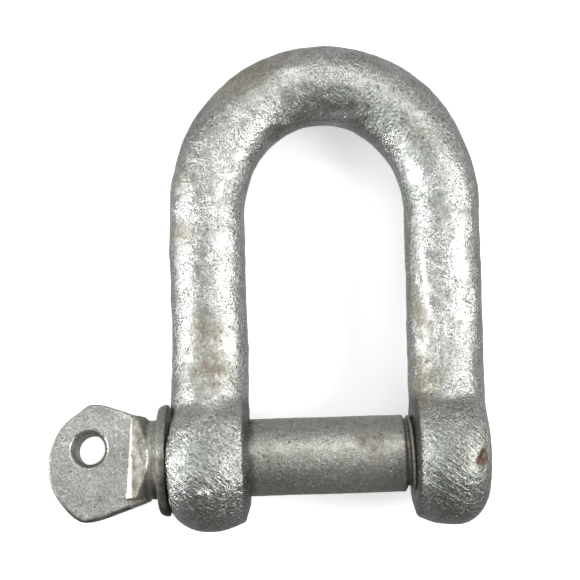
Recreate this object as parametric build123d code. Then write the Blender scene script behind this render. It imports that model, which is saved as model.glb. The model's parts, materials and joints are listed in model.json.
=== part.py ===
from build123d import *
import math
import os

# Long dee shackle with a screw pin, hot-dip galvanised steel, nominal 20 mm pin. Millimetres.
# The pin axis is X, with the eye at -X and the tapped ear at +X. +Y runs from the pin to the crown
# of the bow, and Z is square to the plane of the bow. The origin is on the pin axis, mid-jaw.

# Forged body: two straight legs joined by a half-round bow that is thickest at its crown, each leg
# ending in an ear whose outer edge is fully rounded.
LEG_D = 20.0
CROWN_D = 21.4
LEG_AXIS_X = 31.3
BOW_CENTRE_Y = 67.2
EAR_D = 38.0
PLAIN_EAR_X = (-21.6, -43.4)
TAPPED_EAR_X = (21.8, 40.2)
EAR_INNER_RIM_D = 32.6
EAR_INNER_ROUND = 1.5
EAR_OUTER_ROUND = 9.0
PLAIN_BORE_D = 21.0
TAPPED_BORE_D = 20.2
BORE_LEAD = 1.0

# Each leg swells toward its ear, much more across the bow's plane than along the pin.
ROOT_TOP_Y = 34.0
ROOT_MID_Y = 22.0
ROOT_END_Y = 8.0
ROOT_MID_HALF_X = 10.0
ROOT_MID_HALF_Z = 11.0
ROOT_END_HALF_X = 10.2
ROOT_END_HALF_Z = 15.0

# Screw pin: plain shank, right-hand thread on the far end, collar that seats on the plain ear.
PIN_D = 20.0
SEAT_GAP = 0.3
SEAT_X = PLAIN_EAR_X[1] - SEAT_GAP
THREAD_START_X = TAPPED_EAR_X[0] - 3.4
PIN_END_X = TAPPED_EAR_X[1] - 0.9
THREAD_PITCH = 2.5
THREAD_MAJOR_D = 19.8
THREAD_MINOR_D = 17.0
THREAD_LEAD = 1.4
THREAD_CREST_DEG = 45.0
THREAD_ROOT_DEG = 90.0
COLLAR_D = 29.0
COLLAR_T = 2.8
COLLAR_ROUND = 1.2

# Eye head: a flat forged paddle with its hole off the pin axis. The screwed-in pin stops with the
# paddle turned a little from the plane of the bow, its top edge toward -Z.
EYE_TURN = 6.0
NECK_D = 21.0
NECK_X = SEAT_X - COLLAR_T - 1.4
EYE_T = 10.6
EYE_TIP_X = SEAT_X - 29.8
EYE_SHOULDER_X = SEAT_X - 19.6
EYE_WIDTH = 30.8
EYE_SIDE_BULGE = 1.1
EYE_SHOULDER_ROUND = 2.5
EYE_EDGE_ROUND = 1.4
FACET_X = SEAT_X - 8.9
FACET_D = 25.0
LANYARD_X = SEAT_X - 19.2
LANYARD_Y = 3.2
LANYARD_D = 7.8
LANYARD_LAND = 6.2
LANYARD_RIM_D = 9.6


def along_x(diameter, start_x, end_x):
    """Cylinder on the pin axis from start_x to end_x."""
    centre = Pos((start_x + end_x) / 2, 0, 0)
    return centre * Rot(0, 90, 0) * Cylinder(diameter / 2, end_x - start_x)


def cone_along_x(start_d, end_d, start_x, end_x):
    """Cone on the pin axis, start_d wide at start_x and end_d wide at end_x."""
    centre = Pos((start_x + end_x) / 2, 0, 0)
    return centre * Rot(0, 90, 0) * Cone(start_d / 2, end_d / 2, end_x - start_x)


def bow():
    """Bar from one root, up the leg, round the bow and down the other leg, thickest at the crown."""
    left_top = (-LEG_AXIS_X, BOW_CENTRE_Y)
    crown = (0, BOW_CENTRE_Y + LEG_AXIS_X)
    right_top = (LEG_AXIS_X, BOW_CENTRE_Y)
    along = (0, 1, 0)
    leg_end = Circle(LEG_D / 2)
    bend = sweep(
        [
            Plane(origin=(*left_top, 0), z_dir=along) * leg_end,
            Plane(origin=(*crown, 0), z_dir=(1, 0, 0)) * Circle(CROWN_D / 2),
            Plane(origin=(*right_top, 0), z_dir=(0, -1, 0)) * leg_end,
        ],
        path=ThreePointArc(left_top, crown, right_top),
        multisection=True,
    )
    leg_length = BOW_CENTRE_Y - ROOT_TOP_Y
    for side in (-1, 1):
        foot = Plane(origin=(side * LEG_AXIS_X, ROOT_TOP_Y, 0), z_dir=along)
        bend += extrude(foot * leg_end, leg_length)
    return bend


def root(leg_x, ear_x):
    """Swelling that joins a round leg to its ear."""

    def section(x, y, half_x, half_z):
        return Plane(origin=(x, y, 0), x_dir=(1, 0, 0), z_dir=(0, 1, 0)) * Ellipse(half_x, half_z)

    top = section(leg_x, ROOT_TOP_Y, LEG_D / 2, LEG_D / 2)
    middle = section((leg_x + ear_x) / 2, ROOT_MID_Y, ROOT_MID_HALF_X, ROOT_MID_HALF_Z)
    end = section(ear_x, ROOT_END_Y, ROOT_END_HALF_X, ROOT_END_HALF_Z)
    return loft([top, middle, end])


def ear(inner_x, outer_x):
    """Ear about the pin axis: flat in the jaw, swelling to its widest, then round to its outer face."""
    outward = math.copysign(1, outer_x)
    widest = (outer_x - outward * EAR_OUTER_ROUND, EAR_D / 2)
    inner_rim = (inner_x, EAR_INNER_RIM_D / 2)
    outer_rim = (outer_x, EAR_D / 2 - EAR_OUTER_ROUND)
    outline = Line((outer_x, 0), (inner_x, 0))
    outline += Line((inner_x, 0), inner_rim)
    outline += TangentArc(widest, inner_rim, tangent=(-outward, 0), tangent_from_first=True)
    outline += TangentArc(widest, outer_rim, tangent=(outward, 0), tangent_from_first=True)
    outline += Line(outer_rim, (outer_x, 0))
    solid = revolve(make_face(outline), axis=Axis.X)
    circles = solid.edges().filter_by(GeomType.CIRCLE)
    jaw_rim = [edge for edge in circles if abs(edge.center().X - inner_x) < 0.01]
    return fillet(jaw_rim, EAR_INNER_ROUND)


def bore(diameter, face_a, face_b):
    """Cutter for an ear's bore, with a short lead at each mouth."""
    low, high = sorted((face_a, face_b))
    mouth_d = diameter + 2 * BORE_LEAD
    cutter = along_x(diameter, low - 1, high + 1)
    cutter += cone_along_x(mouth_d, diameter, low, low + BORE_LEAD)
    cutter += cone_along_x(diameter, mouth_d, high - BORE_LEAD, high)
    return cutter


def shackle_body():
    """One forging: bow, legs and both ears, bored for the pin."""
    body = bow()
    for side, (inner_x, outer_x) in ((-1, PLAIN_EAR_X), (1, TAPPED_EAR_X)):
        body += root(side * LEG_AXIS_X, (inner_x + outer_x) / 2)
        body += ear(inner_x, outer_x)
    body -= bore(PLAIN_BORE_D, *PLAIN_EAR_X)
    body -= bore(TAPPED_BORE_D, *TAPPED_EAR_X)
    return body


def thread_section():
    """Cross-section of a single-start thread: crest arc, root arc and two spiral flanks."""
    crest_r = THREAD_MAJOR_D / 2
    root_r = THREAD_MINOR_D / 2
    flank = (360 - THREAD_CREST_DEG - THREAD_ROOT_DEG) / 2

    def spiral(from_r, to_r, from_deg, steps=6):
        points = []
        for i in range(steps + 1):
            radius = from_r + (to_r - from_r) * i / steps
            angle = math.radians(from_deg + flank * i / steps)
            points.append((radius * math.cos(angle), radius * math.sin(angle)))
        return Spline(*points)

    falling = spiral(crest_r, root_r, THREAD_CREST_DEG)
    rising = spiral(root_r, crest_r, 360 - flank)
    crest = CenterArc((0, 0), crest_r, 0, THREAD_CREST_DEG)
    valley = CenterArc((0, 0), root_r, THREAD_CREST_DEG + flank, THREAD_ROOT_DEG)
    return make_face([crest, falling, valley, rising])


def thread():
    """Right-hand thread: its cross-section twists one turn in each pitch along the pin."""
    length = PIN_END_X - THREAD_START_X
    twist = 360 * length / THREAD_PITCH
    twisted = Solid.extrude_linear_with_rotation(thread_section().face(), (0, 0, 0), (0, 0, length), twist)
    placed = Pos(THREAD_START_X, 0, 0) * Rot(0, 90, 0) * Part([twisted])
    lead = along_x(THREAD_MAJOR_D + 4, PIN_END_X - THREAD_LEAD, PIN_END_X)
    tip_d = THREAD_MAJOR_D - 2 * THREAD_LEAD
    lead -= cone_along_x(THREAD_MAJOR_D, tip_d, PIN_END_X - THREAD_LEAD, PIN_END_X)
    return placed - lead


def pin_shank():
    """Shank of the pin, plain in the jaw and threaded in the far ear."""
    return along_x(PIN_D, SEAT_X, THREAD_START_X) + thread()


def eye_outline():
    """Outline of the paddle: round tip, two shoulders and sides that narrow to the neck."""
    half = EYE_WIDTH / 2
    neck = NECK_D / 2
    top = (EYE_SHOULDER_X, half)
    bottom = (EYE_SHOULDER_X, -half)
    side_x = (EYE_SHOULDER_X + NECK_X) / 2
    side_y = (half + neck) / 2 + EYE_SIDE_BULGE
    outline = ThreePointArc(top, (EYE_TIP_X, 0), bottom)
    outline += ThreePointArc(bottom, (side_x, -side_y), (NECK_X, -neck))
    outline += Line((NECK_X, -neck), (NECK_X, neck))
    outline += ThreePointArc((NECK_X, neck), (side_x, side_y), top)
    return make_face(outline)


def paddle():
    """Flat eye with rounded edges."""
    plate = extrude(eye_outline(), EYE_T / 2, both=True)
    shoulders = [edge for edge in plate.edges().filter_by(Axis.Z) if edge.center().X < NECK_X - 1]
    plate = fillet(shoulders, EYE_SHOULDER_ROUND)
    faces = plate.faces().filter_by(Axis.Z)
    rims = [edge for face in faces for edge in face.edges() if edge.center().X < NECK_X - 1]
    return fillet(rims, EYE_EDGE_ROUND)


def neck():
    """Neck that slopes down to the paddle on both faces."""
    root_x = SEAT_X - COLLAR_T / 2
    core = cone_along_x(FACET_D, NECK_D, FACET_X, NECK_X) + along_x(NECK_D, NECK_X, root_x)
    half_t = EYE_T / 2
    half_d = NECK_D / 2
    above = [(FACET_X, half_t), (NECK_X, half_d), (root_x, half_d)]
    below = [(x, -z) for x, z in reversed(above)]
    wedge = extrude(make_face(Plane.XZ * Polyline(*above, *below, close=True)), FACET_D, both=True)
    return core & wedge


def collar():
    """Disc that seats on the plain ear, with a short flare up to it from the neck."""
    disc = fillet(along_x(COLLAR_D, SEAT_X - COLLAR_T, SEAT_X).edges(), COLLAR_ROUND)
    return disc + cone_along_x(NECK_D, NECK_D + 4, NECK_X, SEAT_X - COLLAR_T / 2)


def lanyard_hole():
    """Cutter for the hole, with its rims flared on both faces."""
    rim_depth = (EYE_T - LANYARD_LAND) / 2
    cutter = Cylinder(LANYARD_D / 2, EYE_T + 2)
    for flip in (0, 180):
        rim = Pos(0, 0, (EYE_T - rim_depth) / 2) * Cone(LANYARD_D / 2, LANYARD_RIM_D / 2, rim_depth)
        cutter += Rot(flip, 0, 0) * rim
    return Pos(LANYARD_X, LANYARD_Y, 0) * cutter


def pin_head():
    """Eye head of the pin: paddle, neck and collar."""
    turn = Rot(-EYE_TURN, 0, 0)
    return turn * (paddle() + neck() - lanyard_hole()) + collar()


def main():
    os.makedirs("parts", exist_ok=True)
    export_step(shackle_body(), "parts/shackle_body.step")
    export_step(pin_shank(), "parts/pin_shank.step")
    export_step(pin_head(), "parts/pin_head.step")


main()
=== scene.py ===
import itertools
import json
import math

import bpy
import numpy as np
from mathutils import Matrix, Vector


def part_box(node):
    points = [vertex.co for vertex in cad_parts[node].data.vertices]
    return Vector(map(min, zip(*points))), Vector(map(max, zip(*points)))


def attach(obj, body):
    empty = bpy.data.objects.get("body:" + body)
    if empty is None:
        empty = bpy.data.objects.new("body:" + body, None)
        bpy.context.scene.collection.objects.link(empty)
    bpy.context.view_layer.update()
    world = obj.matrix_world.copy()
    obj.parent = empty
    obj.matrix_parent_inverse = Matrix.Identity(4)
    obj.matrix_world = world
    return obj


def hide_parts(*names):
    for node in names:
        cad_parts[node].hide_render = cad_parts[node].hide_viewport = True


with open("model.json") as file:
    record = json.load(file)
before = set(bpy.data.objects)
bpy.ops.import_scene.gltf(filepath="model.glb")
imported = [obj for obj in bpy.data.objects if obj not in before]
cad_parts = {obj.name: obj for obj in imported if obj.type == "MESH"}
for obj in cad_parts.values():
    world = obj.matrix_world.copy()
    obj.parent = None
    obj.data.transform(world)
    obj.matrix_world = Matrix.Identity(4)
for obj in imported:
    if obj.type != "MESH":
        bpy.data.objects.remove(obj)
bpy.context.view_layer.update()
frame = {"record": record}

# Hot-dip galvanised long dee shackle: the forged body, and the screw pin with its eye.
# Shapes are worked out in millimetres in the frame of the CAD model, whose X is the pin's axis,
# with the eye at -X, the crown of the bow at +Y, and Z square to the plane of the bow.
MM = 0.001


def corners(node):
    """Lowest and highest corner of a CAD node, in millimetres."""
    low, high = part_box(node)
    return np.array(low) / MM, np.array(high) / MM


MOUNTS = {mount["name"]: mount for mount in frame["record"]["mounts"]}
BODY_LOW, BODY_HIGH = corners("shackle_body")
HEAD_LOW, HEAD_HIGH = corners("pin_head")
SHANK_LOW, SHANK_HIGH = corners("pin_shank")

# Bow and legs.
JAW_HALF = 21.3
LEG_R = 10.0
CROWN_R = MOUNTS["bow_crown"]["dims"]["r_mm"]
LEG_X = JAW_HALF + LEG_R
CROWN_ROOM = 0.1
CROWN_Y = BODY_HIGH[1] - CROWN_R - CROWN_ROOM
BOW_RISE = 1.1
BOW_Y = CROWN_Y - BOW_RISE * LEG_X
LEFT_LEG_X = LEG_X - 0.1
RIGHT_LEG_TOP_X = LEG_X
RIGHT_LEG_FOOT_X = LEG_X - 1.1
LEAN_TOP_Y = 67.0
ROOT_TOP_Y = 34.0
ROOT_END_Y = 8.0
LEFT_ROOT_X = 31.7
LEFT_ROOT_HALF_X = 10.3
RIGHT_ROOT_X = 30.7
RIGHT_ROOT_HALF_X = 9.9
ROOT_HALF_Z = 15.0
ROOT_SWELL_POWER = 2.2
ROOT_FILLET = 0.9

# Ears. The plain ear's outer face falls back above and below the pin's axis, the more the further off.
EAR_ROOM = 0.15
EAR_R = -BODY_LOW[1] - EAR_ROOM
LEFT_EAR = (-21.6, -43.4)
RIGHT_EAR = (21.1, 40.2)
EAR_OUTER_ROUND = 9.0
EAR_INNER_RIM_R = 16.4
PLAIN_JAW_CONE = 1.4
TAPPED_JAW_CONE = 0.7
JAW_CONE_NORMAL = (0.95, 0.31)
EAR_FALL_ABOVE, EAR_FALL_ABOVE_Y = 2.0, 12.0
EAR_FALL_BELOW, EAR_FALL_BELOW_Y = 0.4, 14.0
EAR_LEAST_T = 12.0
PLAIN_BORE_R = 10.5
SPOT_FACE_R = 12.8
SPOT_FACE_ROUND = 0.4
BORE_LEAD = 0.9
TAPPED_LEAD = BORE_LEAD * 1.3

# Pin.
PIN_R = MOUNTS["pin_saddle"]["dims"]["r_mm"]
SEAT_X = HEAD_HIGH[0]
PIN_END_X = SHANK_HIGH[0]
THREAD_START_X = 18.4
THREAD_PITCH = 2.5
THREAD_MAJOR_R = 9.9
THREAD_MINOR_R = 8.5
THREAD_ROOT_SHARE = 0.25
THREAD_FLANK_SHARE = 0.625
THREAD_CLEARANCE = 0.25
THREAD_RUN_OUT = 0.7
THREAD_LEAD = 1.4
COLLAR_R = HEAD_HIGH[2]
COLLAR_T = 2.8
COLLAR_DISH = 1.5
COLLAR_ROUND = 0.7
COLLAR_FLARE = 1.05
COLLAR_FILLET = 1.6
NECK_R = 10.5
NECK_X = SEAT_X - COLLAR_T - 1.4

# Eye of the pin. Each side gives its half-width at the neck, its rise to the shoulder, and how soon it
# rises. Each flare gives how far the outline stands out past the round tip, between two angles.
TIP_X = HEAD_LOW[0] + 0.1
TIP_R = 15.7
EYE_DROP = 0.4
EYE_HALF_T = 5.3
EYE_EDGE_ROUND = 0.4
TOP_SHOULDER = -63.2
TOP_SHOULDER_ROUND = 1.3
LOW_SHOULDER = -64.2
LOW_SHOULDER_ROUND = 0.5
TOP_SIDE = (10.5, 5.1, 1.5)
LOW_SIDE = (9.7, 5.3, 1.2)
TIP_FLARES = ((0.9, 1.05, 1.3), (0.35, -0.7, -1.0))
EYE_TURN = math.atan2(*MOUNTS["lanyard_hole"]["axis"][1:])
EYE_COS = math.cos(EYE_TURN)
EYE_SIN = math.sin(EYE_TURN)
FACET_X = SEAT_X - 8.9
FACET_Y = 1.3
FACET_HALF = 10.6
FACET_SLOPE = 0.93
FACET_TILT = 0.07
FACET_FLARE = 0.9
FACET_FILLET = 0.5
EYE_SHIFT_Y = -0.55
LANYARD_X = MOUNTS["lanyard_hole"]["pos_m"][0] / MM
LANYARD_Y = math.hypot(*MOUNTS["lanyard_hole"]["pos_m"][1:]) / MM
LANYARD_R = MOUNTS["lanyard_hole"]["dims"]["r_mm"]
LANYARD_LIP_DEPTH = 1.6
LANYARD_LIP_FLARE = 0.62

# Size of the meshes' cells, and how the meshes are evened out.
BODY_CELL = 0.6
PIN_CELL = 0.42
EVENING_ROUNDS = 5
EVENING_SHARE = 0.6
LEAST_SLOPE_SQUARED = 0.05


# The pieces' wear: spots given as their centre and their half-width along X, Y and Z.

STAIN_SPOTS = (
    ((-16, 104, 5), (12, 5, 9)),
    ((-38, 73, 5), (4, 3, 8)),
    ((-37, 59, 6), (5, 3, 7)),
    ((24, 19, 9), (4, 9, 7)),
    ((25, 39, 9), (3, 8, 7)),
    ((24, 84, 4), (3, 4, 6)),
    ((-31, 22, 9), (5, 8, 8)),
    ((-31, 33, 10), (4, 6, 6)),
    ((23.7, 15, 12), (3, 3, 6)),
    ((-22, 97, 8), (7, 4, 8)),
)
DULL_SPOTS = (
    ((-31, -16, 9), (9, 6, 9)),
    ((-35.5, -9.5, 13), (3, 2.5, 5)),
    ((31, -13, 12), (9, 6, 9)),
    ((30, 9, 17), (8, 6, 6)),
    ((2, 94, 8), (22, 5, 8)),
    ((-36, 92, 7), (8, 10, 9)),
    ((31, 26, 11), (6, 4, 6)),
    ((-31, 3, 18), (6, 9, 6)),
    ((31, 0, 17), (12, 14, 12)),
    ((22.4, 48, 6), (2.8, 28, 7)),
    ((29, 81, 8), (7, 10, 8)),
    ((-34, -10.5, 15), (3, 2.4, 6)),
)
# Runs of bright zinc, each with its strength first: down the right leg, inside the crown, and the nick.
# The one inside the crown is a real lip of zinc whose brightness is a painted highlight.
ZINC_RUNS_AND_SHEEN = (
    (0.9, (25.4, 48, 9), (1.6, 7, 6)),
    (0.9, (26.6, 40, 9.5), (1.7, 6, 6)),
    (0.8, (28.6, 30, 10), (1.2, 6, 6)),
    # Lip of zinc inside the crown, brightened as a painted highlight.
    (0.9, (4.2, 88.4, 4), (8, 1.2, 3)),
    (2.5, (-33.0, -7.6, 17), (1.1, 0.45, 3)),
    (2.5, (-31.7, -8.7, 17), (0.45, 1.1, 3)),
)
RUST_SPOT = ((36.6, -0.8, 17), (2.1, 2.5, 6))
# Lumps and pits, each with its height first.
CROWN_LIP = (
    (0.9, (4, 88.6, 5), (6, 1.4, 2.2)),
    (0.5, (-9, 86.8, 5), (4, 1.2, 2)),
)
LEG_PITS = (
    (-0.5, (36.2, 39.8, 8), (1.6, 1.1, 3)),
    (-0.4, (33.8, 34, 9), (1.2, 1, 3)),
)
PIN_STAIN_SPOT = ((10, 3, 9), (4, 5, 5))

# Layers of unevenness: height, lump size and seed.
BODY_UNEVENNESS = ((0.2, 14.0, 1), (0.17, 6.0, 2), (0.1, 2.6, 3), (0.04, 1.4, 4))
PIN_UNEVENNESS = ((0.05, 9.0, 31), (0.03, 1.6, 33), (0.02, 1.0, 34))
HEAD_UNEVENNESS = ((0.12, 5.0, 32),)
BODY_RAGGEDNESS = ((0.5, 4.0, 11), (0.4, 1.6, 12))
PIN_RAGGEDNESS = ((0.6, 3.5, 21), (0.4, 1.5, 22))


# Distance fields: negative inside the metal, in millimetres.

FAR = 1e3


def smooth_min(a, b, reach):
    """Union of two fields with a fillet."""
    share = np.clip(0.5 + 0.5 * (b - a) / reach, 0, 1)
    return b + (a - b) * share - reach * share * (1 - share)


def round_max(a, b, radius):
    """Intersection of two fields with its edge rounded."""
    outside = np.hypot(np.maximum(a + radius, 0), np.maximum(b + radius, 0))
    return np.minimum(np.maximum(a, b), -radius) + outside


def smooth_step(low, high, value):
    share = np.clip((value - low) / (high - low), 0, 1)
    return share * share * (3 - 2 * share)


def ellipse(u, v, half_u, half_v):
    """Distance to an ellipse, near enough close to it."""
    k = np.hypot(u / half_u, v / half_v)
    slope = np.hypot(u / half_u**2, v / half_v**2)
    return k * (k - 1) / np.maximum(slope, 1e-6)


def leg_axis_x(y, side, root_x):
    """How far out a leg's axis runs: the right leg leans, and both swing towards their root."""
    if side < 0:
        leg = np.full_like(y, LEFT_LEG_X)
    else:
        lean = np.clip(y / LEAN_TOP_Y, 0, 1)
        leg = RIGHT_LEG_FOOT_X + (RIGHT_LEG_TOP_X - RIGHT_LEG_FOOT_X) * lean
    swing = smooth_step(ROOT_END_Y, ROOT_TOP_Y, y)
    return root_x + (leg - root_x) * swing


def bar(x, y, z):
    """The legs, and the bow, which is a little taller than it is wide."""
    above = y > BOW_Y
    centre_x = (RIGHT_LEG_TOP_X - LEFT_LEG_X) / 2
    bend_r = (RIGHT_LEG_TOP_X + LEFT_LEG_X) / 2
    rise = np.maximum(y - BOW_Y, 0)
    crown = smooth_step(0, 1, rise / (CROWN_Y - BOW_Y))
    half = LEG_R + (CROWN_R - LEG_R) * crown
    bent = np.hypot(ellipse(x - centre_x, rise, bend_r, CROWN_Y - BOW_Y), z) - half
    field = np.where(above, bent, FAR)
    for side, root_x, root_half_x in (
        (-1, LEFT_ROOT_X, LEFT_ROOT_HALF_X),
        (1, RIGHT_ROOT_X, RIGHT_ROOT_HALF_X),
    ):
        axis_x = leg_axis_x(y, side, root_x)
        swell = np.clip((ROOT_TOP_Y - y) / (ROOT_TOP_Y - ROOT_END_Y), 0, 1)
        half_x = LEG_R + (root_half_x - LEG_R) * swell
        half_z = LEG_R + (ROOT_HALF_Z - LEG_R) * swell**ROOT_SWELL_POWER
        straight = ellipse(side * x - axis_x, z, half_x, half_z)
        straight = np.maximum(straight, -y)
        field = np.where(above, field, np.minimum(field, straight))
    return field


def ear(x, r, inner_x, outer_x, cone):
    """One ear, turned about the pin's axis, its jaw face a shallow cone and its outer edge round."""
    outward = np.sign(outer_x)
    along = outward * x
    inner, outer = np.abs(inner_x), np.abs(outer_x)
    widest = outer - EAR_OUTER_ROUND
    sag = EAR_R - EAR_INNER_RIM_R
    arc_r = ((widest - inner - cone) ** 2 + sag**2) / (2 * sag)
    inner_side = np.hypot(np.minimum(along - widest, 0), r - EAR_R + arc_r) - arc_r
    outer_side = r - EAR_R
    ring = np.where(along < widest, inner_side, outer_side)
    field = round_max(ring, along - outer, EAR_OUTER_ROUND)
    slope_x, slope_r = JAW_CONE_NORMAL
    slant = (inner + cone - along) * slope_x + (r - EAR_INNER_RIM_R) * slope_r
    return np.maximum(field, np.maximum(slant, inner - along))


def thread_r(x, y, z):
    """Radius of the right-hand thread beside a point."""
    phase = (x / THREAD_PITCH - np.arctan2(z, y) / (2 * math.pi)) % 1.0
    ridge = np.abs(2 * phase - 1)
    height = np.clip((ridge - THREAD_ROOT_SHARE) / THREAD_FLANK_SHARE, 0, 1)
    return THREAD_MINOR_R + (THREAD_MAJOR_R - THREAD_MINOR_R) * height


def bore(x, y, z, r):
    """The holes for the pin: a plain bore, and a tapped one with a spot face in the jaw."""
    left_lead = np.clip(BORE_LEAD - np.abs(x - LEFT_EAR[0]), 0, None)
    plain = r - PLAIN_BORE_R - left_lead
    face = np.clip(TAPPED_LEAD - np.abs(x - RIGHT_EAR[0]), 0, None)
    mouth = np.clip(BORE_LEAD - np.abs(x - RIGHT_EAR[1]), 0, None)
    tapped = r - thread_r(x, y, z) - THREAD_CLEARANCE - face - mouth
    spot = round_max(r - SPOT_FACE_R, x - RIGHT_EAR[0], SPOT_FACE_ROUND)
    return np.where(x < 0, plain, np.minimum(tapped, spot))


def body_field(x, y, z):
    """The forged body."""
    r = np.hypot(y, z)
    field = bar(x, y, z)
    left_inner_x, left_outer_x = LEFT_EAR
    fall_above = EAR_FALL_ABOVE * (np.maximum(y, 0) / EAR_FALL_ABOVE_Y) ** 2
    fall_below = EAR_FALL_BELOW * (np.minimum(y, 0) / EAR_FALL_BELOW_Y) ** 2
    domed_x = np.minimum(left_outer_x + fall_above + fall_below, left_inner_x - EAR_LEAST_T)
    left_ear = ear(x, r, left_inner_x, domed_x, PLAIN_JAW_CONE)
    right_ear = ear(x, r, *RIGHT_EAR, TAPPED_JAW_CONE)
    field = smooth_min(smooth_min(field, left_ear, ROOT_FILLET), right_ear, ROOT_FILLET)
    return np.maximum(field, -bore(x, y, z, r))


def eye_side(x, shoulder_x, neck, rise, power):
    """How far one side of the eye stands out, from the neck to its shoulder."""
    share = np.clip((x - NECK_X) / (shoulder_x - NECK_X), 0, 1)
    return neck + rise * (1 - (1 - share) ** power)


def eye_outline(x, y):
    """Outline of the flat eye, seen square to its plane: a round tip, and two shoulders."""
    side_scale = 0.97
    top = (y - eye_side(x, TOP_SHOULDER, *TOP_SIDE)) * side_scale
    bottom = (-y - eye_side(x, LOW_SHOULDER, *LOW_SIDE)) * side_scale
    back = TIP_X + TIP_R - x
    angle = np.arctan2(y + EYE_DROP, back)
    flare = sum(out * smooth_step(start, end, angle) for out, start, end in TIP_FLARES)
    tip = np.hypot(back, y + EYE_DROP) - TIP_R - flare
    tip = np.where(back < 0, -TIP_R, tip)
    upper = round_max(top, tip, TOP_SHOULDER_ROUND)
    return np.maximum(upper, round_max(bottom, tip, LOW_SHOULDER_ROUND))


def collar_field(x, r):
    """Disc with a dished face that bears on the plain ear, flaring up from the neck."""
    dish = COLLAR_DISH * np.clip((r - PLAIN_BORE_R) / (COLLAR_R - PLAIN_BORE_R), 0, 1) ** 2
    face = x - SEAT_X - dish
    rim = r - COLLAR_R
    back = SEAT_X - COLLAR_T + COLLAR_DISH - x
    flare_scale = 0.69
    slope = (r - NECK_R - (x - NECK_X) * COLLAR_FLARE) * flare_scale
    return round_max(round_max(rim, face, COLLAR_ROUND), np.maximum(back, slope), COLLAR_ROUND)


def pin_field(x, y, z):
    """The pin: shank, thread, collar, neck and eye in one forging, the eye turned a little."""
    r = np.hypot(y, z)
    thread_scale, slab_scale = 0.8, 0.71
    run_out = smooth_step(THREAD_START_X, THREAD_START_X + THREAD_RUN_OUT, x)
    threaded = PIN_R + (thread_r(x, y, z) - PIN_R) * run_out
    lead = np.clip(x - PIN_END_X + THREAD_LEAD, 0, None)
    shank = np.maximum((r - threaded + lead) * thread_scale, np.maximum(x - PIN_END_X, NECK_X - x))
    y, z = y * EYE_COS - z * EYE_SIN, y * EYE_SIN + z * EYE_COS
    facet_z = EYE_HALF_T + FACET_SLOPE * np.clip(x - FACET_X - FACET_TILT * (y - FACET_Y), 0, None)
    d_shape = np.abs(y - EYE_SHIFT_Y - FACET_Y) - FACET_HALF
    slab = (np.abs(z) - facet_z) * slab_scale
    cone = r - NECK_R - np.clip(NECK_X - x, 0, None) * FACET_FLARE
    neck_bar = np.maximum(np.maximum(slab, d_shape), cone)
    neck_bar = np.maximum(neck_bar, np.maximum(x - SEAT_X + 1, FACET_X - 3 - x))
    plate = round_max(eye_outline(x, y - EYE_SHIFT_Y), np.abs(z) - EYE_HALF_T, EYE_EDGE_ROUND)
    plate = np.maximum(plate, x - NECK_X)
    head = smooth_min(plate, neck_bar, FACET_FILLET)
    head = smooth_min(head, collar_field(x, r), COLLAR_FILLET)
    from_hole = np.hypot(x - LANYARD_X, y - LANYARD_Y)
    lip = np.clip(np.abs(z) - EYE_HALF_T + LANYARD_LIP_DEPTH, 0, None) * LANYARD_LIP_FLARE
    head = np.maximum(head, LANYARD_R + lip - from_hole)
    return np.minimum(head, shank)


# Meshes from distance fields.


def lattice(seed, size=32):
    return np.random.default_rng(seed).uniform(-1, 1, (size, size, size))


def noise(points, lump, seed):
    """Smooth unevenness from about -1 to 1, with lumps of that size in millimetres."""
    table = lattice(seed)
    place = points / lump
    base = np.floor(place).astype(int)
    part = place - base
    part = part * part * (3 - 2 * part)
    total = np.zeros(len(points))
    for corner in itertools.product((0, 1), repeat=3):
        weight = np.ones(len(points))
        for axis in range(3):
            weight *= part[:, axis] if corner[axis] else 1 - part[:, axis]
        i, j, k = ((base + corner) % len(table)).T
        total += weight * table[i, j, k]
    return total


def unevenness(points, layers):
    """Sum of layers of noise."""
    return sum(height * noise(points, lump, seed) for height, lump, seed in layers)


def slope_of(field, points, step=0.05):
    """Gradient of a field at points."""
    columns = []
    for axis in range(3):
        shift = np.zeros(3)
        shift[axis] = step
        columns.append((field(*(points + shift).T) - field(*(points - shift).T)) / (2 * step))
    return np.stack(columns, axis=1)


def onto_surface(field, points, cell):
    """Moves points to where the field is zero."""
    for _ in range(2):
        value = field(*points.T)
        slope = slope_of(field, points)
        steepness = np.maximum((slope**2).sum(1), LEAST_SLOPE_SQUARED)
        step = slope * (value / steepness)[:, None]
        size = np.linalg.norm(step, axis=1, keepdims=True)
        points = points - step * np.minimum(1, cell / np.maximum(size, 1e-9))
    return points


def evened(points, faces, field, cell):
    """Evens out the spacing of a mesh's points while they stay on the surface."""
    a = faces.ravel()
    b = np.roll(faces, -1, axis=1).ravel()
    count = np.bincount(a, minlength=len(points)) + np.bincount(b, minlength=len(points))
    for _ in range(EVENING_ROUNDS):
        total = np.zeros_like(points)
        for axis in range(3):
            total[:, axis] += np.bincount(a, points[b, axis], len(points))
            total[:, axis] += np.bincount(b, points[a, axis], len(points))
        points = points + EVENING_SHARE * (total / count[:, None] - points)
        points = onto_surface(field, points, cell)
    return points


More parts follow.
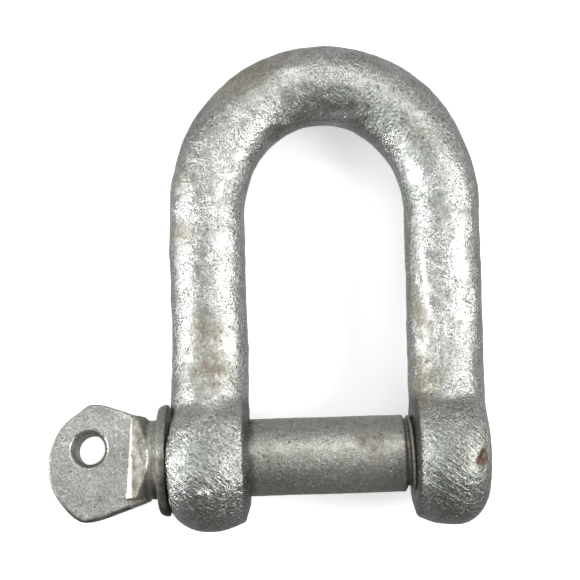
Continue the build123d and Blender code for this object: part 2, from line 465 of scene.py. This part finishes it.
def surface(field, low, high, cell):
    """Quads over the surface of a field, one point in each cell that it passes through."""
    axes = [np.arange(low[i] - 2 * cell, high[i] + 3 * cell, cell) for i in range(3)]
    counts = [len(axis) for axis in axes]
    inside = np.empty(counts, bool)
    y, z = np.meshgrid(axes[1], axes[2], indexing="ij")
    for i, x in enumerate(axes[0]):
        inside[i] = field(np.full_like(y, x), y, z) < 0
    crossing = np.zeros([n - 1 for n in counts], int)
    for dx, dy, dz in itertools.product((0, 1), repeat=3):
        crossing += inside[dx:counts[0] - 1 + dx, dy:counts[1] - 1 + dy, dz:counts[2] - 1 + dz]
    active = (crossing > 0) & (crossing < 8)
    number = np.full(active.shape, -1)
    cells = np.argwhere(active)
    number[tuple(cells.T)] = np.arange(len(cells))
    points = np.array([axis[0] for axis in axes]) + (cells + 0.5) * cell
    faces = []
    for a in range(3):
        b, c = (a + 1) % 3, (a + 2) % 3
        first = np.take(inside, range(counts[a] - 1), axis=a)
        second = np.take(inside, range(1, counts[a]), axis=a)
        edges = np.argwhere(first != second)
        edges = edges[(edges[:, b] > 0) & (edges[:, c] > 0)]
        ring = []
        for step_b, step_c in ((0, 0), (-1, 0), (-1, -1), (0, -1)):
            corner = edges.copy()
            corner[:, b] += step_b
            corner[:, c] += step_c
            ring.append(number[tuple(corner.T)])
        quads = np.stack(ring, axis=1)
        outward = first[tuple(edges.T)]
        quads[~outward] = quads[~outward][:, ::-1]
        faces.append(quads)
    return points, np.concatenate(faces)


def build_mesh(name, points, faces, masks):
    """Blender object from points in millimetres, with a named value from 0 to 1 at each point."""
    mesh = bpy.data.meshes.new(name)
    mesh.vertices.add(len(points))
    mesh.vertices.foreach_set("co", (points * MM).astype(np.float32).ravel())
    mesh.loops.add(faces.size)
    mesh.loops.foreach_set("vertex_index", faces.astype(np.int32).ravel())
    mesh.polygons.add(len(faces))
    mesh.polygons.foreach_set("loop_start", np.arange(0, faces.size, 4, dtype=np.int32))
    mesh.update(calc_edges=True)
    mesh.validate()
    mesh.polygons.foreach_set("use_smooth", np.ones(len(mesh.polygons), bool))
    for mask, values in masks.items():
        layer = mesh.attributes.new(mask, "FLOAT", "POINT")
        layer.data.foreach_set("value", values.astype(np.float32))
    piece = bpy.data.objects.new(name, mesh)
    bpy.context.scene.collection.objects.link(piece)
    return piece


def blob(points, centre, size):
    """Soft spot from 1 at its centre to 0, size being its half-width along X, Y and Z."""
    offset = (points - np.array(centre)) / np.array(size)
    return np.exp(-(offset**2).sum(1))


def blobs(points, spots):
    """Sum of soft spots, each with its strength or height first."""
    return sum(strength * blob(points, centre, size) for strength, centre, size in spots)


def pushed_out(points, field, distance):
    """Points moved square to the surface of a field."""
    slope = slope_of(field, points)
    normal = slope / np.maximum(np.linalg.norm(slope, axis=1, keepdims=True), 1e-6)
    return points + normal * distance[:, None]


# The forged body.


def body_masks(points):
    """Where the body is stained, dull, coated with a run of bright zinc, rusty, scraped or grimy; the
    grime on the jaw faces is partly painted shade, and the run inside the crown is partly a painted
    highlight.
    """
    x, y, _ = points.T
    ragged = 1 + unevenness(points, BODY_RAGGEDNESS)
    stain = sum(blob(points, centre, size) for centre, size in STAIN_SPOTS)
    dull = sum(blob(points, centre, size) for centre, size in DULL_SPOTS)
    # The ears' jaw faces, in the crease beside the pin, are darkened: partly dark grime, partly painted
    # shade.
    left_jaw = smooth_step(LEFT_EAR[0] - 1.7, LEFT_EAR[0] - 1.1, x) * (x < 0)
    right_jaw = smooth_step(RIGHT_EAR[0] + 1.2, RIGHT_EAR[0] + 0.6, x) * (x > 0)
    return {
        "stain": np.clip(stain * ragged, 0, 1),
        "dull": np.clip(dull * ragged, 0, 1),
        "run_and_sheen": np.clip(blobs(points, ZINC_RUNS_AND_SHEEN), 0, 1),
        "rust": smooth_step(0.35, 0.6, blob(points, *RUST_SPOT) * ragged),
        "scraped": smooth_step(13, 6, y),
        "grime_and_shade": 0.8 * (left_jaw + right_jaw) * smooth_step(17, 13, y),
    }


def body_relief(points, masks):
    """How far the surface stands out from its design shape, apart from the machined bores."""
    r = np.hypot(points[:, 1], points[:, 2])
    bored_r, forged_r = 10.2, 13.5
    as_forged = np.clip(smooth_step(bored_r, forged_r, r) + (points[:, 1] > forged_r), 0, 1)
    run_and_sheen = masks["run_and_sheen"] * (0.5 + 0.12 * noise(points, 1.8, 5))
    rust = 0.25 * masks["rust"] * noise(points, 1.2, 6)
    lumps = blobs(points, CROWN_LIP) + blobs(points, LEG_PITS)
    return as_forged * (unevenness(points, BODY_UNEVENNESS) + run_and_sheen + rust + lumps)


def forged_body():
    points, faces = surface(body_field, BODY_LOW, BODY_HIGH, BODY_CELL)
    points = evened(points, faces, body_field, BODY_CELL)
    masks = body_masks(points)
    points = pushed_out(points, body_field, body_relief(points, masks))
    points = np.clip(points, BODY_LOW, BODY_HIGH)
    return build_mesh("shackle_forging", points, faces, masks)


# The screw pin.


def pin_masks(points):
    """Where the pin is stained, dull, scraped, or grimy and painted with shade; it has no run of zinc
    and no rust.
    """
    x, y, z = points.T
    ragged = 1 + unevenness(points, PIN_RAGGEDNESS)
    shank = smooth_step(SEAT_X + 2, SEAT_X + 6, x)
    collar = smooth_step(NECK_X + 0.5, NECK_X + 2.5, x) * (1 - shank)
    facet = smooth_step(FACET_X + 0.5, FACET_X + 1.2, x) * (1 - smooth_step(NECK_X, NECK_X + 1, x))
    groove = smooth_step(THREAD_START_X - 0.3, THREAD_START_X + 0.4, x)
    turned_y = y * EYE_COS - z * EYE_SIN - EYE_SHIFT_Y
    edge = smooth_step(-1.0, -0.1, eye_outline(x, turned_y)) * (x < FACET_X)
    # Painted shadow of the left ear, cast across the shank beside it.
    painted_ear_shadow = smooth_step(LEFT_EAR[0] + 2.2, LEFT_EAR[0] + 0.6, x)
    painted_ear_shadow = painted_ear_shadow * smooth_step(LEFT_EAR[0] - 2.5, LEFT_EAR[0] - 0.5, x)

    # Everything is darker lower down, towards -Y.
    stain = 0.55 * shank * np.clip(0.55 - 0.05 * y, 0, 1) + 0.6 * blob(points, *PIN_STAIN_SPOT)
    stain = stain + collar * np.clip(0.85 - 0.07 * y, 0.1, 1.4) + 0.7 * facet
    stain = stain + edge * np.clip(0.6 - 0.03 * y, 0, 1)
    # The collar and the eye's lower edge darken towards -Y, the side away from the light: partly grime,
    # partly painted shade.
    grime_and_shade = collar * np.clip(0.3 - 0.08 * y, 0, 0.9) + edge * np.clip(-0.06 * y, 0, 0.8)
    return {
        "stain": np.clip(stain * ragged + 0.5 * groove, 0, 1),
        "dull": np.clip(0.45 * ragged * shank + collar + facet, 0, 1),
        "run_and_sheen": np.zeros(len(points)),
        "rust": np.zeros(len(points)),
        "scraped": 0.12 * shank,
        "grime_and_shade": np.clip((grime_and_shade + 0.5 * painted_ear_shadow) * ragged, 0, 0.9),
    }


def pin_relief(points):
    """How far the pin's surface stands out from its design shape, apart from the cut thread."""
    x = points[:, 0]
    uncut = 1 - smooth_step(THREAD_START_X - 1, THREAD_START_X, x)
    on_head = 1 - smooth_step(SEAT_X - 0.5, SEAT_X + 0.5, x)
    return uncut * (unevenness(points, PIN_UNEVENNESS) + on_head * unevenness(points, HEAD_UNEVENNESS))


def screw_pin():
    low = np.minimum(HEAD_LOW, SHANK_LOW)
    high = np.maximum(HEAD_HIGH, SHANK_HIGH)
    points, faces = surface(pin_field, low, high, PIN_CELL)
    points = evened(points, faces, pin_field, PIN_CELL)
    points = pushed_out(points, pin_field, pin_relief(points))
    points = np.clip(points, low, high)
    return build_mesh("screw_pin", points, faces, pin_masks(points))


# Materials.


def set_range(node, low, high, to_low, to_high):
    """Sets what a map range node reads and what it gives."""
    numbers = {"From Min": low, "From Max": high, "To Min": to_low, "To Max": to_high}
    for name, number in numbers.items():
        node.inputs[name].default_value = number


class Nodes:
    """Adds shader nodes and joins them."""

    def __init__(self, name):
        self.material = bpy.data.materials.new(name)
        self.material.use_nodes = True
        self.tree = self.material.node_tree
        self.shader = self.tree.nodes["Principled BSDF"]
        texture_place = self.tree.nodes.new("ShaderNodeTexCoord")
        self.place = texture_place.outputs["Object"]

    def put(self, value, socket):
        if isinstance(value, bpy.types.NodeSocket):
            self.tree.links.new(value, socket)
        else:
            socket.default_value = value

    def noise(self, lump_mm, detail=2.0, rough=0.5, stretch=None):
        """Noise texture from 0 to 1, with lumps of that size."""
        node = self.tree.nodes.new("ShaderNodeTexNoise")
        node.inputs["Scale"].default_value = 1 / (lump_mm * MM)
        node.inputs["Detail"].default_value = detail
        node.inputs["Roughness"].default_value = rough
        self.put(self.turned(stretch) if stretch else self.place, node.inputs["Vector"])
        return node.outputs["Fac"]

    def cells(self, lump_mm):
        """Distance to the nearest of scattered points, for grains that stand apart."""
        node = self.tree.nodes.new("ShaderNodeTexVoronoi")
        node.inputs["Scale"].default_value = 1 / (lump_mm * MM)
        self.put(self.place, node.inputs["Vector"])
        return node.outputs["Distance"]

    def turned(self, stretch):
        """Texture place turned about Z by an angle in degrees, and drawn out along its new axes."""
        degrees, lengths = stretch
        node = self.tree.nodes.new("ShaderNodeMapping")
        node.vector_type = "TEXTURE"
        node.inputs["Rotation"].default_value = (0, 0, math.radians(degrees))
        node.inputs["Scale"].default_value = lengths
        self.put(self.place, node.inputs["Vector"])
        return node.outputs["Vector"]

    def mask(self, name):
        node = self.tree.nodes.new("ShaderNodeAttribute")
        node.attribute_name = name
        return node.outputs["Fac"]

    def combined(self, operation, a, b):
        node = self.tree.nodes.new("ShaderNodeMath")
        node.operation = operation
        self.put(a, node.inputs[0])
        self.put(b, node.inputs[1])
        return node.outputs[0]

    def times(self, a, b):
        return self.combined("MULTIPLY", a, b)

    def plus(self, a, b):
        return self.combined("ADD", a, b)

    def ramp(self, value, low, high, to_low=0.0, to_high=1.0):
        """Spreads value's range from low to high over to_low to to_high."""
        node = self.tree.nodes.new("ShaderNodeMapRange")
        self.put(value, node.inputs["Value"])
        set_range(node, low, high, to_low, to_high)
        return node.outputs[0]

    def mix(self, share, a, b):
        """Colour between a and b."""
        node = self.tree.nodes.new("ShaderNodeMix")
        node.data_type = "RGBA"
        self.put(share, node.inputs["Factor"])
        for value, socket in ((a, node.inputs[6]), (b, node.inputs[7])):
            self.put((*value, 1) if isinstance(value, tuple) else value, socket)
        return node.outputs[2]

    def bump(self, height, depth_mm, below=None, strength=1.0):
        node = self.tree.nodes.new("ShaderNodeBump")
        node.inputs["Distance"].default_value = depth_mm * MM
        self.put(strength, node.inputs["Strength"])
        self.put(height, node.inputs["Height"])
        if below is not None:
            self.put(below, node.inputs["Normal"])
        return node.outputs["Normal"]


FRESH_ZINC = (0.93, 0.94, 0.93)
PIT_COLOUR = (0.11, 0.09, 0.07)
# Near-black for grime, and for painted shade.
GRIME_AND_SHADE_COLOUR = (0.03, 0.028, 0.022)
RUST_COLOURS = ((0.13, 0.08, 0.06), (0.27, 0.2, 0.17))

# Sizes of the zinc's features, in millimetres, and the way the scrapes run, in degrees from Y.
MOTTLE_LUMP = 7.0
CALM_LUMP = 4.5
PIT_SPACING = 2.6
STAIN_BREAK_LUMP = 2.2
FLECK_LUMP = 1.7
FLECK_DEPTH = 0.16
PIT_DEPTH = 0.12
SCRAPE_LUMP = 0.85
SCRAPE_DEPTH = 0.55
SCRAPE_ANGLE = 50
SCRAPE_STRETCH = 6


def scaled(colour, share):
    return tuple(share * part for part in colour)


def zinc_colour(nodes, shares, bright, dull, stain, grain_contrast):
    """Colour of the zinc, from its patches and grain to the stain, pits, rust, runs and grime on it;
    the grime carries painted shade too, and the brightened run inside the crown is partly a painted
    highlight.
    """
    colour = nodes.mix(shares["dull"], bright, dull)
    colour = nodes.mix(nodes.times(shares["fleck"], 0.34), colour, scaled(dull, 0.66))
    light_grain = nodes.times(shares["light grain"], 0.6 * grain_contrast)
    colour = nodes.mix(light_grain, colour, FRESH_ZINC)
    dark_grain = nodes.times(shares["dark grain"], 0.58 * grain_contrast)
    colour = nodes.mix(dark_grain, colour, scaled(dull, 0.3))
    colour = nodes.mix(nodes.times(shares["stain"], 0.85), colour, stain)
    colour = nodes.mix(nodes.times(shares["pit"], 0.6), colour, PIT_COLOUR)
    colour = nodes.mix(nodes.mask("rust"), colour, nodes.mix(shares["fleck"], *RUST_COLOURS))
    # Runs of fresh zinc are brighter; inside the crown this is a painted highlight on the lip.
    run_and_sheen_colour = tuple(min(1.12 * part, 0.95) for part in bright)
    colour = nodes.mix(nodes.times(nodes.mask("run_and_sheen"), 0.65), colour, run_and_sheen_colour)
    return nodes.mix(nodes.times(nodes.mask("grime_and_shade"), 0.9), colour, GRIME_AND_SHADE_COLOUR)


def zinc_roughness(nodes, shares, fine, base_roughness):
    """Roughness: dull, stained and rusty zinc is rougher, and a run of fresh zinc is smoother."""
    roughness = nodes.ramp(shares["dull"], 0, 1, base_roughness, base_roughness + 0.14)
    roughness = nodes.plus(roughness, nodes.ramp(fine, 0.35, 0.65, -0.05, 0.07))
    roughness = nodes.plus(roughness, nodes.times(nodes.mask("rust"), 0.35))
    roughness = nodes.plus(roughness, nodes.times(nodes.mask("run_and_sheen"), -0.1))
    return nodes.plus(roughness, nodes.times(shares["stain"], 0.2))


def zinc(name, bright, dull, stain, grain_mm, grain_depth_mm, grain_contrast, base_roughness):
    """Weathered hot-dip zinc: sandy grain, dull patches, brown stain, rust and diagonal scrapes."""
    nodes = Nodes(name)
    mottle = nodes.noise(MOTTLE_LUMP, 4.0, 0.6)
    fleck = nodes.noise(FLECK_LUMP, 3.0, 0.6)
    fine = nodes.noise(grain_mm, 3.0, 0.65)
    scrapes = nodes.noise(SCRAPE_LUMP, 3.0, 0.6, stretch=(SCRAPE_ANGLE, (1, SCRAPE_STRETCH, 1)))
    grainy = nodes.ramp(nodes.noise(CALM_LUMP, 3.0, 0.6), 0.4, 0.56, 0.5, 1.0)
    broken = nodes.ramp(nodes.noise(STAIN_BREAK_LUMP, 4.0, 0.7), 0.35, 0.6, 0.3, 1.0)
    patches = nodes.times(nodes.ramp(mottle, 0.42, 0.62), 0.75)
    shares = {
        "dull": nodes.combined("MAXIMUM", patches, nodes.mask("dull")),
        "fleck": nodes.ramp(fleck, 0.4, 0.64),
        "light grain": nodes.times(nodes.ramp(fine, 0.52, 0.66), grainy),
        "dark grain": nodes.times(nodes.ramp(fine, 0.49, 0.36), grainy),
        "stain": nodes.times(nodes.mask("stain"), broken),
        "pit": nodes.ramp(nodes.cells(PIT_SPACING), 0.13, 0.07),
    }
    colour = zinc_colour(nodes, shares, bright, dull, stain, grain_contrast)
    nodes.put(colour, nodes.shader.inputs["Base Color"])
    roughness = zinc_roughness(nodes, shares, fine, base_roughness)
    nodes.put(roughness, nodes.shader.inputs["Roughness"])
    nodes.put(nodes.ramp(shares["stain"], 0, 1, 0.95, 0.55), nodes.shader.inputs["Metallic"])

    grain_strength = nodes.times(nodes.ramp(nodes.mask("run_and_sheen"), 0, 1, 1.0, 0.7), grainy)
    normal = nodes.bump(scrapes, SCRAPE_DEPTH, strength=nodes.mask("scraped"))
    normal = nodes.bump(fleck, FLECK_DEPTH, normal)
    normal = nodes.bump(fine, grain_depth_mm, normal, grain_strength)
    normal = nodes.bump(nodes.times(shares["pit"], -1.0), PIT_DEPTH, normal)
    nodes.put(normal, nodes.shader.inputs["Normal"])
    return nodes.material


# The floor, the light and the camera.

BED_TILT = math.atan2(EAR_R - CROWN_R, BOW_Y + LEG_X)
VIEW_ROLL = math.radians(-1.8)
VIEW_DISTANCE = 0.330
VIEW_LENS = 77.3
SENSOR_WIDTH = 36
AIM = Vector((-0.0097, 0.04375, 0))
FLOOR_SIZE = 2.4
FLOOR_GLOW = 0.5

# The room's light from the side of -Y and of +Y, over those heights of its direction's Y, and its
# strength where the camera sees it.
ROOM_Y = (-0.8, 0.3)
ROOM_STRENGTH = (0.15, 0.42)
SEEN_STRENGTH = 1.1


def camera():
    """Looks straight down on the floor, which is tilted so that the ears and crown lie on it."""
    data = bpy.data.cameras.new("camera")
    data.lens = VIEW_LENS
    data.sensor_width = SENSOR_WIDTH
    data.clip_start = 0.01
    eye = bpy.data.objects.new("camera", data)
    bpy.context.scene.collection.objects.link(eye)
    turn = Matrix.Rotation(BED_TILT, 4, "X") @ Matrix.Rotation(VIEW_ROLL, 4, "Z")
    place = AIM + turn.to_3x3() @ Vector((0, 0, VIEW_DISTANCE))
    eye.matrix_world = Matrix.Translation(place) @ turn
    bpy.context.scene.camera = eye


def floor():
    """White sheet under the ears and the crown, glowing a little like a light table."""
    bpy.ops.mesh.primitive_plane_add(size=FLOOR_SIZE)
    sheet = bpy.context.object
    sheet.name = "floor"
    turn = Matrix.Rotation(BED_TILT, 4, "X")
    down = turn.to_3x3() @ Vector((0, 0, -EAR_R * MM))
    sheet.matrix_world = Matrix.Translation(down) @ turn
    material = bpy.data.materials.new("white_sheet")
    material.use_nodes = True
    shader = material.node_tree.nodes["Principled BSDF"]
    shader.inputs["Base Color"].default_value = (0.93, 0.93, 0.94, 1)
    shader.inputs["Roughness"].default_value = 0.9
    shader.inputs["Specular IOR Level"].default_value = 0.1
    shader.inputs["Emission Color"].default_value = (1, 1, 1, 1)
    shader.inputs["Emission Strength"].default_value = FLOOR_GLOW
    sheet.visible_glossy = False
    sheet.data.materials.append(material)
    return sheet


def softbox(name, azimuth, elevation, distance, width, height, radiance, tint=(1, 1, 1)):
    """Area light facing the shackle; azimuth is from +X towards +Y, in degrees."""
    data = bpy.data.lights.new(name, "AREA")
    data.shape = "RECTANGLE"
    data.size = width
    data.size_y = height
    data.energy = radiance * math.pi * width * height
    data.color = tint
    lamp = bpy.data.objects.new(name, data)
    bpy.context.scene.collection.objects.link(lamp)
    a, e = math.radians(azimuth), math.radians(elevation)
    way = Vector((math.cos(a) * math.cos(e), math.sin(a) * math.cos(e), math.sin(e)))
    lamp.location = AIM + way * distance
    lamp.rotation_euler = way.to_track_quat("Z", "Y").to_euler()


def room():
    """Dim room for the metal to reflect, darkest towards -Y, and white where the camera sees it."""
    world = bpy.data.worlds.new("room")
    bpy.context.scene.world = world
    world.use_nodes = True
    tree = world.node_tree
    background = tree.nodes["Background"]
    place = tree.nodes.new("ShaderNodeTexCoord")
    parts = tree.nodes.new("ShaderNodeSeparateXYZ")
    side = tree.nodes.new("ShaderNodeMapRange")
    side.interpolation_type = "SMOOTHSTEP"
    tree.links.new(place.outputs["Generated"], parts.inputs[0])
    tree.links.new(parts.outputs["Y"], side.inputs["Value"])
    set_range(side, *ROOM_Y, *ROOM_STRENGTH)
    path = tree.nodes.new("ShaderNodeLightPath")
    strength = tree.nodes.new("ShaderNodeMix")
    tree.links.new(path.outputs["Is Camera Ray"], strength.inputs[0])
    tree.links.new(side.outputs[0], strength.inputs[2])
    strength.inputs[3].default_value = SEEN_STRENGTH
    tree.links.new(strength.outputs[0], background.inputs["Strength"])
    background.inputs["Color"].default_value = (1, 1, 1, 1)


def lighting():
    softbox("right_box", -8, 36.5, 0.8, 0.32, 0.45, 9.8, (1, 0.99, 0.98))
    softbox("left_box", 186, 20, 0.8, 0.28, 0.45, 12.0, (0.98, 0.99, 1))
    softbox("far_box", 80, 60, 0.8, 0.6, 0.22, 3.6)
    softbox("top_box", 0, 90, 1.1, 0.5, 0.5, 0.55, (1, 1, 0.98))
    room()


camera()
floor()
lighting()
bpy.context.scene.view_settings.view_transform = "Standard"

forging = forged_body()
forging.data.materials.append(
    zinc(
        "zinc_body",
        bright=(0.7, 0.71, 0.69),
        dull=(0.37, 0.39, 0.35),
        stain=(0.24, 0.2, 0.13),
        grain_mm=0.6,
        grain_depth_mm=0.3,
        grain_contrast=1.0,
        base_roughness=0.2,
    )
)
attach(forging, "shackle_body")
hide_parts("shackle_body")

pin = screw_pin()
pin.data.materials.append(
    zinc(
        "zinc_pin",
        bright=(0.6, 0.6, 0.56),
        dull=(0.4, 0.4, 0.36),
        stain=(0.15, 0.125, 0.085),
        grain_mm=0.5,
        grain_depth_mm=0.15,
        grain_contrast=0.85,
        base_roughness=0.3,
    )
)
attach(pin, "pin_head")
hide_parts("pin_head", "pin_shank")
